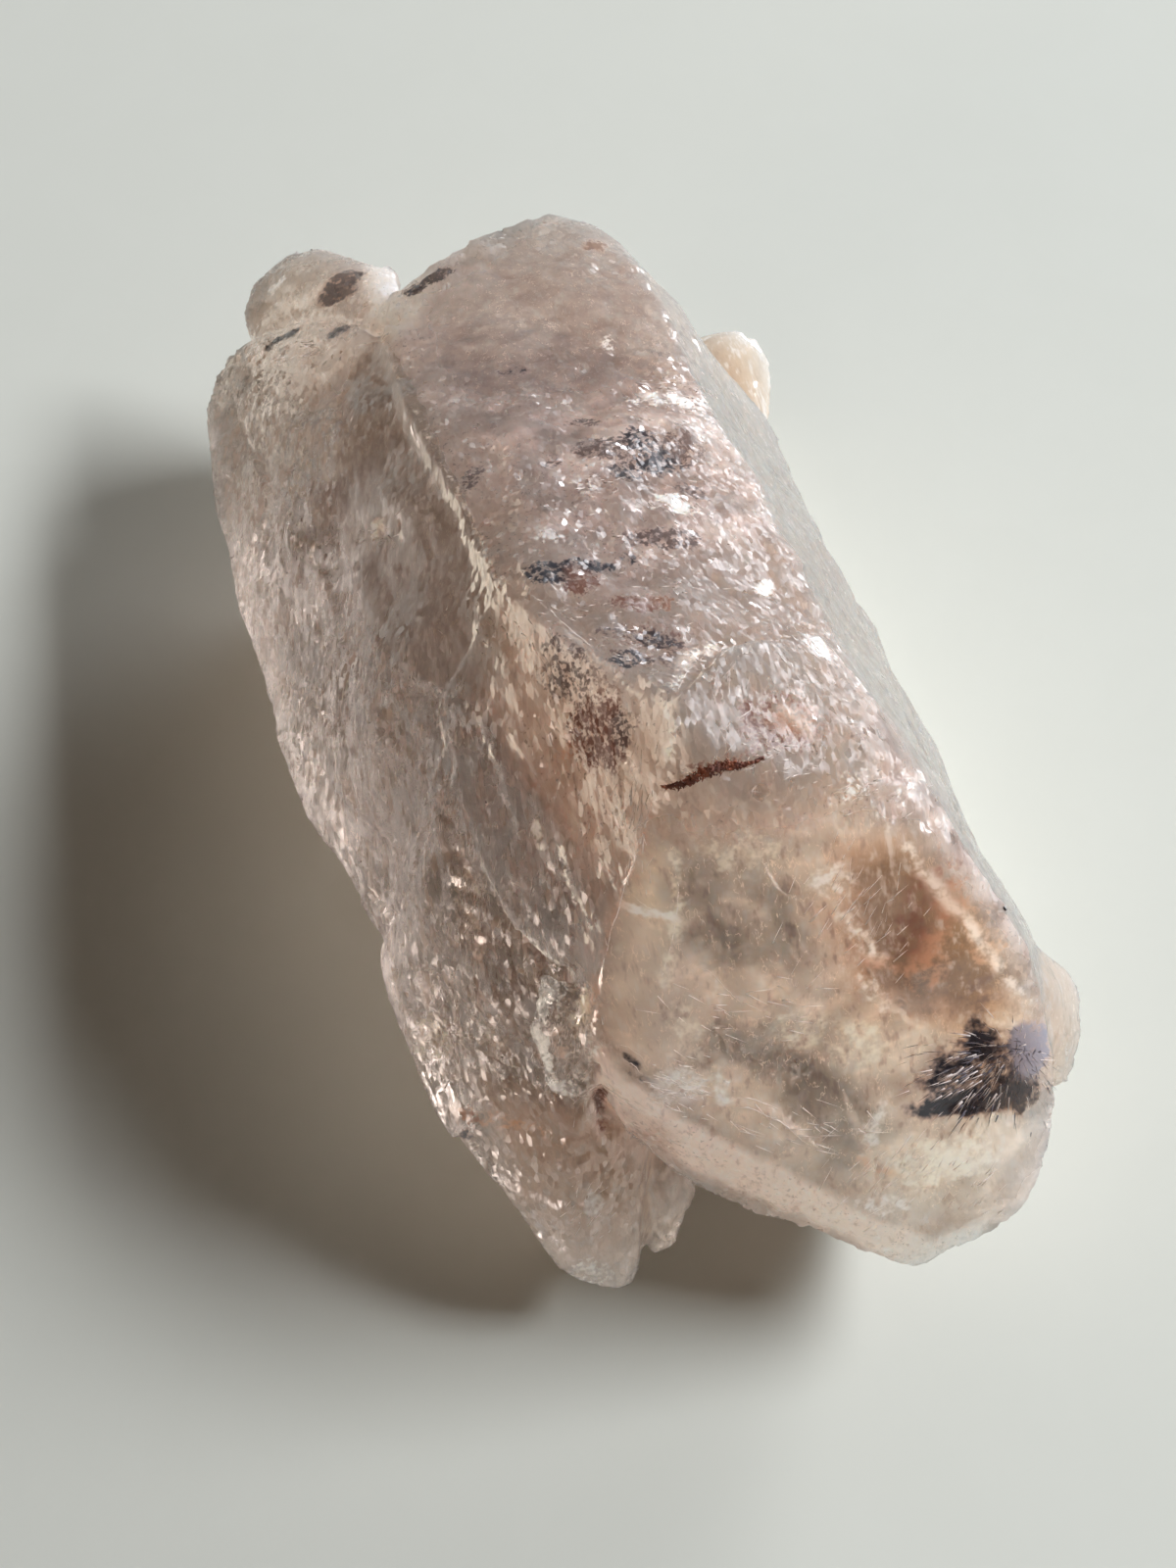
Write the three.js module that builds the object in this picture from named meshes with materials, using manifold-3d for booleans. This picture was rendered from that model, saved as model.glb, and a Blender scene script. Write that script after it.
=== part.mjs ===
// A quartz crystal specimen: two crystals grown side by side and broken from their rock, with a knob, a
// ledge and a few chips. Millimetres, +Z up. +X runs along the crystals, towards the clear sloping end face,
// and +Y towards the long clean side face. The stone rests on a flat broken face at Z = 0.
import * as THREE from "three";
import { ConvexGeometry } from "three/addons/geometries/ConvexGeometry.js";
import { ImprovedNoise } from "three/addons/math/ImprovedNoise.js";
import { TessellateModifier } from "three/addons/modifiers/TessellateModifier.js";
import { mergeVertices } from "three/addons/utils/BufferGeometryUtils.js";
import Module from "manifold-3d";

const wasm = await Module();
wasm.setup();

// Driving dimensions
const RIDGE = 26; // the highest point of the long ridge
const BROKEN_END = 15.5; // upper edge of the broken end
const WAIST = 10; // where the upper side faces meet the undercut ones
const TIP = 4; // the pointed end of the smaller crystal
const FOOT = 0; // the resting face
const LONGEST_EDGE = 2.8; // of a facet, once the faces are divided
const ROUGHNESS = 0.25; // how far the weathering moves a face
const STONE_COLOUR = 0xa8968a;

// Corners of each block, [x, y, z]. A block is the convex solid that its corners span.

// The larger crystal: a six-sided prism with one face up, lower at its broken end
const mainCrystal = [
  // broken end, upper edge
  [-26.4, 2.3, BROKEN_END],
  [-26.1, 4.3, BROKEN_END + 0.5],
  [-27.4, 7, BROKEN_END + 0.5],
  [-28, 9.3, BROKEN_END + 0.3],
  [-27.9, 11.5, BROKEN_END],
  [-26.8, 13.1, BROKEN_END],
  [-24.9, 13.7, BROKEN_END],
  // long edge between the top face and the clean side face
  [-21.8, 13.2, BROKEN_END + 1],
  [-15.5, 12.4, RIDGE - 8],
  [-7.1, 10.8, RIDGE - 6],
  [3.4, 9.2, RIDGE - 4],
  [10.8, 8.7, RIDGE - 3.2],
  [15, 9.6, RIDGE - 5],
  [17.8, 10.6, RIDGE - 8],
  // long ridge between the top face and the shaded side face
  [-23.1, 0.2, RIDGE - 9.2],
  [-16.1, -0.9, RIDGE - 6.7],
  [-10.9, -1.2, RIDGE - 5],
  [-4.1, -2.2, RIDGE - 3],
  [0.4, -1.5, RIDGE - 1],
  [5.9, 0.5, RIDGE],
  // left edge of the clear end face, going down
  [8.5, -1.5, RIDGE - 1.5],
  [9.7, -3, RIDGE - 3.6],
  [10.9, -4.6, 20.1],
  [12.3, -5.8, 17.8],
  [13.3, -6.2, 16.5],
  // inner side of the narrow strip along that edge
  [8.9, -0.5, RIDGE - 0.7],
  [10.2, -1.3, RIDGE - 2.6],
  [11.8, -1.9, 21.1],
  [13.4, -2.8, 18.9],
  [14.6, -4.2, 17],
  // lower edge of the clear end face
  [14.5, -6, 15.5],
  [16.7, -4.7, 14.2],
  [18.6, -2, 12.3],
  [20.5, 1.1, 10.5],
  [22, 2.3, 8.8],
  // outline of the bevel below it
  [13.9, -6.3, 14.8],
  [15.8, -6, 11.5],
  [18.4, -3.8, 9.6],
  [20.2, -1.2, 7.8],
  [22.3, 1.6, 6],
  [24.1, 3.7, 5],
  // right edge of the clear end face, going up
  [24.8, 5.6, 6],
  [25, 7.2, 6.5],
  [24.7, 8.3, 7.5],
  [24, 9.3, 8.6],
  [23.1, 10, WAIST],
  [21.8, 10.6, WAIST + 2],
  [19.7, 10.9, WAIST + 4.5],
  // waist of the clean side face
  [-22.6, 15.4, WAIST + 1],
  [-15.4, 17.6, WAIST - 1],
  [-9.3, 16.8, WAIST - 0.5],
  [-0.1, 15.5, WAIST],
  [6.2, 14.6, WAIST + 0.5],
  [11.3, 14.1, WAIST + 1],
  [15.2, 13.4, WAIST + 2],
  // foot
  [-24, 3, FOOT - 1],
  [-22, 12, FOOT - 1],
  [12, 10, FOOT - 1],
  [14, 0, FOOT - 1],
];

// The inside, where the two crystals have grown into each other
const heart = [
  [-26, 1, WAIST + 2],
  [-24, 12, WAIST + 3],
  [-20, -5, WAIST + 2],
  [1.5, -6.3, WAIST + 8],
  [10, -4.7, WAIST + 6.5],
  [12, 9, WAIST + 9],
  [-5, 1, RIDGE - 6],
  [5, 1, RIDGE - 3],
  [-24, 3, FOOT + 1],
  [-22, 11, FOOT + 1],
  [-18, -4, FOOT + 1],
  [4, -6, FOOT + 1],
  [11, -4, FOOT + 1],
  [11, 8, FOOT + 1],
];

// The flank of the smaller crystal, from the ridge down to its waist
const flank = [
  // under the ridge
  [-23.1, 0.4, RIDGE - 9.5],
  [-16.1, -0.6, RIDGE - 7],
  [-10.9, -1, RIDGE - 5.3],
  [-4.1, -1.9, RIDGE - 3.3],
  [0.4, 0, RIDGE - 2.4],
  // edge of the flat shaded facet
  [-27.9, -0.9, 13.5],
  [-23.9, -0.6, 15.2],
  [-16.1, -2.8, 16.6],
  [-8.8, -4.9, 17.9],
  [-3.5, -5.9, 18.9],
  [0.9, -6.9, 18.5],
  // crease above the pointed end
  [2.4, -8.9, 15],
  [3.1, -11.4, WAIST + 1],
  // waist
  [-31.2, -4.8, WAIST + 0.5],
  [-30.6, -6.1, WAIST - 0.2],
  [-29, -7.2, WAIST - 0.7],
  [-25.4, -8.1, WAIST - 0.8],
  [-20.2, -9.4, WAIST - 0.6],
  [-14.7, -10.7, WAIST],
  [-10, -11.5, WAIST + 0.4],
  [-5.5, -12.1, WAIST + 0.8],
  [-1.8, -11.8, WAIST + 1],
  // foot
  [-27, 3, FOOT + 2],
  [-26, -3, FOOT + 2],
  [-20, -5, FOOT - 1],
  [1, -6, FOOT - 1],
  [1, 3, FOOT - 1],
  [-20, 3, FOOT - 1],
];

// The crest of the smaller crystal: an etched flat face that rises to the ridge
const crest = [
  [-3.6, -2.3, 23],
  [-0.2, -3.5, 22],
  [1.7, -0.9, RIDGE - 1],
  [5.8, 0.5, RIDGE - 0.2],
  [7.9, -1, RIDGE - 1.6],
  [9.3, -3, RIDGE - 4],
  [10.5, -4.6, 19.6],
  [10.8, -5.3, 17.5],
  [9.9, -6.5, 16.9],
  [7.8, -7.1, 17.1],
  [4.5, -7.2, 17.9],
  [1.3, -7, 18.8],
  [-1.8, -6.3, 19.5],
  [-1, 2, WAIST],
  [8, 2, WAIST],
];

// The pointed end of the smaller crystal
const point = [
  // below the crest
  [1.2, -7, 18.8],
  [3.9, -7.4, 17.4],
  [7.6, -7.4, 16.2],
  [10.3, -7, 15.2],
  [12, -4, 14],
  [3, -4, 16],
  // beside the clear end face
  [13, -6.4, 14],
  [14.1, -6.7, 12],
  [16, -5.5, 8],
  [18.3, -6.3, TIP + 1],
  // tip
  [18.9, -7, TIP - 0.4],
  [19.1, -8.1, TIP],
  [18.6, -9.1, TIP + 0.5],
  [17.8, -9.7, TIP + 1.2],
  // waist
  [16.6, -10.3, TIP + 2.2],
  [14.9, -10.9, TIP + 3.5],
  [12.3, -12, WAIST - 1],
  [10.1, -12.6, WAIST],
  [8.7, -12.7, WAIST + 0.6],
  [6.9, -12.4, WAIST + 1],
  [4.9, -12.2, WAIST + 1.2],
  [3, -11.5, WAIST + 1.2],
  // foot
  [-3, -6, FOOT - 1],
  [12, -6.5, FOOT - 1],
  [12, 0, FOOT - 1],
  [-3, 2, FOOT - 1],
];

// A low rough lump between the pointed end and the clear end
const lowLump = [
  [15.8, -5.2, 6],
  [16.3, -3.7, 5.5],
  [16.6, -2.4, 3],
  [17.2, -3.5, 2.4],
  [18, -4.6, 2],
  [18, -5.8, 2],
  [13, -4, 8],
  [13, -2, 1],
  [14, -6, 1],
];

// The knob at the broken end of the smaller crystal, and the neck that joins it to the larger one
const knob = [
  [-33.6, -3.2, WAIST + 0.2],
  [-34.7, -2.1, WAIST + 0.6],
  [-35, -0.3, WAIST + 1.2],
  [-34.5, 1.1, WAIST + 1.6],
  [-32.5, 2, WAIST + 2.4],
  [-30.5, 2.5, WAIST + 3],
  [-29, 3.3, WAIST + 3.6],
  [-24.5, 1.5, BROKEN_END + 0.3],
  [-25.6, -0.6, BROKEN_END - 1.2],
  [-31.5, -4, WAIST + 0.4],
  [-33, -1, 5],
  [-31, -2, 4],
  [-28, 4, 4],
  [-25, 0, 3],
];

// A low yellow ledge beside the clean side face
const ledge = [
  [-24.9, 18.7, 5.5],
  [-24.6, 20.5, 5.5],
  [-23.6, 21.6, 5],
  [-21.7, 21.5, 4.5],
  [-19.5, 20.3, 4.2],
  [-18.6, 19.3, 4.5],
  [-24, 19, 1.5],
  [-20, 19, 1.5],
  [-22, 13, 8],
  [-17, 13, 7],
  [-23, 11, 1.5],
  [-17, 11, 1.5],
];

// A rounded shoulder between the clean side face and the clear end
const shoulder = [
  [16.1, 12.5, 14],
  [17.4, 13.7, 12.5],
  [18.3, 13.9, 11.5],
  [19.9, 13.3, WAIST + 0.6],
  [21.4, 12.1, WAIST],
  [21.5, 11.2, WAIST + 0.5],
  [18.4, 11.6, 15],
  [20, 11, 7.5],
  [13, 12, 7],
  [13, 10, 14],
];

// A pale raised block on the pointed end, beside the clear end face
const paleBlock = [
  [10.3, -7.1, 17.6],
  [11.5, -5.7, 17.8],
  [13.2, -6.1, 16.2],
  [14.4, -6.8, 14.2],
  [14.3, -7.6, 13.4],
  [13.5, -8.2, 13.8],
  [11.7, -7.9, 15.8],
  [11, -4, 12],
  [14, -5.5, 11],
];

// A low step across the top face, from the ridge to the long edge
const step = [
  [6.1, 0.4, RIDGE + 0.3],
  [4.5, 2.9, RIDGE],
  [4.4, 5, RIDGE - 0.8],
  [4.1, 8.9, RIDGE - 3.4],
  [11, 8.4, RIDGE - 2.7],
  [8.9, -0.6, RIDGE],
  [8.1, -1, RIDGE - 0.8],
  [11.5, 0, RIDGE - 4],
  [14, 8, RIDGE - 5.5],
  [6, 1, RIDGE - 5],
  [5, 8, RIDGE - 7],
];

// Shell-shaped chips: centre and radius of the ball that each one follows
const chips = [
  { centre: [-35, 14, 9], radius: 8.5 },
  { centre: [-31, 7, 0], radius: 8 },
  { centre: [-31.5, -8, 2], radius: 6 },
  { centre: [-11, -16, 0], radius: 9.5 },
  { centre: [-4, 23, -1], radius: 11 },
  { centre: [8, -17, 1], radius: 8 },
  { centre: [18, 15, -2], radius: 9 },
];

function toSolid(geometry) {
  geometry.deleteAttribute("normal");
  geometry.deleteAttribute("uv");
  const merged = mergeVertices(geometry, 1e-4);
  const vertProperties = new Float32Array(merged.attributes.position.array);
  const triVerts = new Uint32Array(merged.index.array);
  return new wasm.Manifold(new wasm.Mesh({ numProp: 3, vertProperties, triVerts }));
}

function toGeometry(solid) {
  const mesh = solid.getMesh();
  const geometry = new THREE.BufferGeometry();
  geometry.setAttribute("position", new THREE.BufferAttribute(new Float32Array(mesh.vertProperties), 3));
  geometry.setIndex(new THREE.BufferAttribute(new Uint32Array(mesh.triVerts), 1));
  return geometry;
}

function blockSolid(corners) {
  return toSolid(new ConvexGeometry(corners.map((corner) => new THREE.Vector3(...corner))));
}

function chipSolid({ centre, radius }) {
  const detail = 4;
  const ball = new THREE.IcosahedronGeometry(radius, detail);
  ball.translate(...centre);
  return toSolid(ball);
}

// Everything below the resting face
function groundSolid() {
  const size = 200;
  const slab = new THREE.BoxGeometry(size, size, size);
  slab.translate(0, 0, FOOT - size / 2);
  return toSolid(slab);
}

// Moves each vertex by a smooth field, so that the flat faces turn slightly uneven.
function weather(geometry) {
  const noise = new ImprovedNoise();
  const waves = [
    { length: 9, share: 1 },
    { length: 3.6, share: 0.8 },
  ];
  const positions = geometry.attributes.position;
  const point3 = new THREE.Vector3();
  for (let i = 0; i < positions.count; i++) {
    point3.fromBufferAttribute(positions, i);
    const move = new THREE.Vector3();
    for (const { length, share } of waves) {
      const { x, y, z } = point3.clone().divideScalar(length);
      move.x += share * noise.noise(x + 11.3, y, z);
      move.y += share * noise.noise(x, y + 23.7, z);
      move.z += share * noise.noise(x, y, z + 37.1);
    }
    point3.addScaledVector(move, 2 * ROUGHNESS);
    positions.setXYZ(i, point3.x, point3.y, point3.z);
  }
  return geometry;
}

function quartzSolid() {
  let stone = blockSolid(mainCrystal);
  const others = [heart, flank, crest, point, lowLump, knob, ledge, shoulder, paleBlock, step];
  for (const corners of others) {
    stone = stone.add(blockSolid(corners));
  }
  for (const chip of chips) stone = stone.subtract(chipSolid(chip));
  const divided = new TessellateModifier(LONGEST_EDGE, 8).modify(toGeometry(stone));
  return toSolid(weather(divided)).subtract(groundSolid());
}

// Puts the origin on the resting face, in the middle of the stone's plan.
function centred(geometry) {
  geometry.computeBoundingBox();
  const middle = geometry.boundingBox.getCenter(new THREE.Vector3());
  return geometry.translate(-middle.x, -middle.y, -geometry.boundingBox.min.z);
}

function quartzMesh() {
  const material = new THREE.MeshStandardMaterial({ color: STONE_COLOUR, roughness: 0.25, metalness: 0 });
  const mesh = new THREE.Mesh(centred(toGeometry(quartzSolid())), material);
  mesh.name = "quartz_crystals";
  return mesh;
}

const specimen = new THREE.Group();
specimen.add(quartzMesh());

export default specimen;
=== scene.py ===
import math
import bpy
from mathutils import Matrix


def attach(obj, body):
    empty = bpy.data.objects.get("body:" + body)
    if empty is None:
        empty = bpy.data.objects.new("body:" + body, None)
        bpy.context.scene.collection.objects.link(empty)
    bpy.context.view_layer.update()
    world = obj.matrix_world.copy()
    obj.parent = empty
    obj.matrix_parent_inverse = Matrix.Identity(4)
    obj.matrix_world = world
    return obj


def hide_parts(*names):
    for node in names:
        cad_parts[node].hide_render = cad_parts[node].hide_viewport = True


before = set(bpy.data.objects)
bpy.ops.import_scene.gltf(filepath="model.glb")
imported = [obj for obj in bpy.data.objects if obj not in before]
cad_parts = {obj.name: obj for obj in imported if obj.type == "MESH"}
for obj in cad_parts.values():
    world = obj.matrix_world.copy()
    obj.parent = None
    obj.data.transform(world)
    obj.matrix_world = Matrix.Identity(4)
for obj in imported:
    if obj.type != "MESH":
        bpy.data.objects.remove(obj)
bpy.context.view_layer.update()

from types import SimpleNamespace

import bpy
import numpy as np
from mathutils import Matrix, Vector, noise
from mathutils.bvhtree import BVHTree

MM = 0.001

# Where the photograph was taken from
PHOTO_WIDTH, PHOTO_HEIGHT = 1200, 1600
FOCAL_LENGTH = 2288  # in photo pixels
SENSOR = 36
VIEW_AZIMUTH, VIEW_ELEVATION = math.radians(64), math.radians(60)
VIEW_DISTANCE = 100 * MM
VIEW_AIM = Vector((5.1, -4.67, 11)) * MM
TO_RIGHT = Vector((math.cos(VIEW_AZIMUTH), math.sin(VIEW_AZIMUTH), 0))
TO_CAMERA = Vector((math.sin(VIEW_AZIMUTH) * math.cos(VIEW_ELEVATION),
                    -math.cos(VIEW_AZIMUTH) * math.cos(VIEW_ELEVATION),
                    math.sin(VIEW_ELEVATION)))
TO_TOP = TO_CAMERA.cross(TO_RIGHT)
EYE = VIEW_AIM + TO_CAMERA * VIEW_DISTANCE
PIXELS_PER_MM = 22

# Where each lamp stands: azimuth and elevation in degrees
HIGH_WINDOW = (78.4, 40.7)
LOW_WINDOW = (119.9, 12.1)
FILL = (-78, 5)

# Each lamp: where it stands, its distance, width and height in metres, its power in watts and its colour
DAYLIGHT, WARM_LIGHT = (0.97, 0.96, 1.0), (1.0, 0.81, 0.70)
LAMPS = {
    "high_window": (HIGH_WINDOW, 0.86, 0.48, 0.18, 8.4, DAYLIGHT),
    "low_window": (LOW_WINDOW, 0.90, 0.265, 0.20, 5.1, DAYLIGHT),
    "fill": (FILL, 0.80, 0.22, 0.20, 2.3, WARM_LIGHT),
}
ROOM_COLOUR, ROOM_STRENGTH = (1.0, 0.80, 0.58, 1), 0.028

# The table
TABLE_HALF = 1.5
TABLE_TONES = (0.705, 0.745, 0.683, 1), (0.690, 0.729, 0.665, 1)
AIR_GAP = 0.06 * MM  # between the flat foot and the table, so that light passes from one to the other

# The crystal
VOXEL = 0.26 * MM
IOR = 1.544
WOBBLE = ((0.9 * MM, 0.28), (0.35 * MM, 0.12))  # waves that make edges uneven: size, and reach in mm
FIBRE_SIZE, CRUMB_SIZE, SPECK_SIZE, GRAIN_SIZE = 0.42 * MM, 0.6 * MM, 0.2 * MM, 0.2 * MM
FIBRE_STRETCH, GRAIN_STRETCH = (0.22, 1, 1), (0.4, 1, 1)
# painted highlight, in part: the grains picked above this are glossier and also painted milk-white
BRIGHT_FROM = 0.95  # grains picked above this are bright
GLASSY = 0.035  # roughness where the surface is smooth
THIN_GLOW = (1.0, 0.8, 0.65)  # how far red, green and blue spread in the milky quartz, as shares of GLOW
FLANK_STARTS, FLANK_FULL = -2 * MM, -6 * MM  # across the stone, towards the smaller crystal

# Pigments, as linear colours
PINK = (0.86, 0.68, 0.61)
TAUPE = (0.66, 0.51, 0.45)
SAND = (0.66, 0.50, 0.39)
CREAM = (0.97, 0.86, 0.74)
MILK = (0.97, 0.89, 0.84)
BEIGE = (0.96, 0.80, 0.68)
PEARL = (0.93, 0.84, 0.76)
HAZE = (0.26, 0.27, 0.33)
AMBER = (0.76, 0.58, 0.47)
# a pale blush, in part painted light on the bevel
PAINTED_GLOW_BLUSH = (0.97, 0.77, 0.69)
PEACH = (0.36, 0.27, 0.21)
RUST = (0.56, 0.36, 0.25)
UMBER = (0.20, 0.10, 0.075)
SOOT = (0.035, 0.038, 0.05)
SMOKE = (0.16, 0.12, 0.11)
# painted shade: a dark khaki that stands for the shade on the shaded facet
PAINTED_SHADE_KHAKI = (0.36, 0.29, 0.22)
OCHRE = (0.27, 0.185, 0.115)
TAN = (0.62, 0.45, 0.33)
STONE_GREY = (0.60, 0.52, 0.47)
ROSE = (0.80, 0.56, 0.45)
GLASS = (0.99, 0.89, 0.83)
GLOW = 25 * MM
ABSORBED, DENSITY = (0.97, 0.84, 0.70), 16.0

# Minerals of the fine pieces: their two tones, roughness, and the size of their patches
MINERALS = {
    "dark_needle": ((0.05, 0.045, 0.055), (0.14, 0.13, 0.16), 0.3, 0.5 * MM),
    "pale_needle": ((0.90, 0.84, 0.82), (0.75, 0.66, 0.62), 0.3, 0.5 * MM),
    "milky_thread": ((0.95, 0.86, 0.80), (0.80, 0.70, 0.63), 0.25, 0.8 * MM),
    "milky_veil": ((0.98, 0.94, 0.91), (0.92, 0.85, 0.79), 0.3, 0.5 * MM),
    "iron_stain": ((0.30, 0.09, 0.04), (0.12, 0.035, 0.02), 0.5, 0.6 * MM),
}

# Regions of the stone: outline in photo pixels, soft edge in mm, and then four values: pigment, strength,
# see-through share and smoothness
REGIONS = {
    "clear_end": (
        [(676, 850), (730, 842), (800, 836), (862, 818), (925, 850), (985, 930), (1040, 1010), (1068, 1100),
         (1058, 1180), (1008, 1236), (930, 1258), (868, 1238), (800, 1203), (730, 1160), (672, 1128),
         (626, 1085), (608, 1040), (624, 960), (648, 880)],
        1.5, BEIGE, 0.7, 0.98, 1.0),
    "strip": (
        [(664, 846), (690, 868), (694, 930), (690, 1000), (640, 1024), (608, 1010), (636, 900)],
        0.25, BEIGE, 0.5, 0.85, 1.0),
    # painted light, in part: the bevel is painted pale blush and made milky, for its own pink and for the
    # light that leaves the stone there
    "bevel": (
        [(606, 1056), (640, 1100), (700, 1142), (760, 1172), (830, 1208), (890, 1242), (950, 1262),
         (1010, 1240), (1000, 1275), (930, 1300), (885, 1275), (820, 1245), (760, 1218), (700, 1193),
         (650, 1165), (606, 1120)],
        0.3, PAINTED_GLOW_BLUSH, 0.9, 0.05, 0.4),
    # painted shade: the shaded facet is painted dark khaki for the shade it lies in, facing away from the
    # lamps
    "shaded_facet": (
        [(362, 356), (394, 345), (425, 400), (458, 480), (486, 545), (508, 612), (520, 690), (480, 714),
         (420, 690), (376, 640), (352, 560), (344, 500), (352, 420)],
        0.35, PAINTED_SHADE_KHAKI, 0.7, 0.6, 0.6),
    "knob": (
        [(262, 250), (300, 225), (350, 228), (385, 250), (375, 300), (362, 345), (290, 356), (250, 330),
         (248, 280)],
        0.6, SMOKE, 0.1, 0.8, 0.5),
    "neck": ([(376, 262), (436, 272), (428, 330), (398, 352), (372, 305)], 0.5, CREAM, 0.7, 0.3, 0.3),
    "warm_half": (
        [(850, 860), (925, 850), (985, 930), (1040, 1010), (1056, 1056), (1000, 1046), (930, 1036),
         (870, 1016), (840, 940)],
        1.5, TAN, 0.85, 0.95, 1.0),
    "brown_depth": (
        [(872, 872), (925, 858), (985, 925), (1032, 990), (1005, 1045), (940, 1022), (893, 1005),
         (872, 930)],
        1.2, OCHRE, 0.9, 0.85, 1.0),
    "crest": (
        [(505, 615), (600, 650), (660, 715), (676, 790), (662, 850), (610, 905), (560, 830), (500, 720)],
        1.0, STONE_GREY, 0.5, 0.3, 0.0),
    "brow": (
        [(715, 640), (830, 660), (900, 760), (885, 825), (800, 840), (700, 850), (688, 780), (690, 720)],
        0.9, AMBER, 0.8, 0.72, 0.0),
    "near_top": (
        [(600, 640), (700, 560), (800, 560), (850, 640), (830, 660), (715, 640), (680, 722)],
        1.6, AMBER, 0.45, 0.72, 0.0),
    "far_top": (
        [(430, 300), (500, 262), (570, 215), (640, 225), (700, 300), (720, 380), (600, 400), (480, 420),
         (440, 370)],
        1.2, PINK, 0.3, 0.72, 0.5),
    "tip": (
        [(500, 1110), (600, 1130), (680, 1160), (690, 1230), (640, 1330), (580, 1320), (520, 1230)],
        1.0, ROSE, 0.9, 0.62, 0.25),
    "shoulder": (
        [(1060, 972), (1088, 984), (1106, 1030), (1104, 1100), (1084, 1118), (1068, 1096), (1062, 1030)],
        0.25, AMBER, 0.9, 0.5, 0.6),
}

# The same four values for the clean side face and the low ledge beside it, which are found by their place
CLEAN_SIDE = (PEARL, 0.85, 0.66, 0.75)
LEDGE = (PEACH, 1.0, 0.1, 0.9)
LEDGE_MIDDLE, LEDGE_TOP = (768, 385), 8 * MM

# Other places in the picture, in photo pixels
BROW_EDGE = [(690, 806), (780, 812), (885, 815)]
FIBRES_RUN = [(490, 990), (455, 800)]
TUFT_ROOT, TUFT_MIDDLE, TUFT_SPREAD = (1040, 1064), (1000, 1097), (32, 23)
IRON_CRACK_START, IRON_CRACK_RUN = (676, 803), (102, -31)

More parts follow.
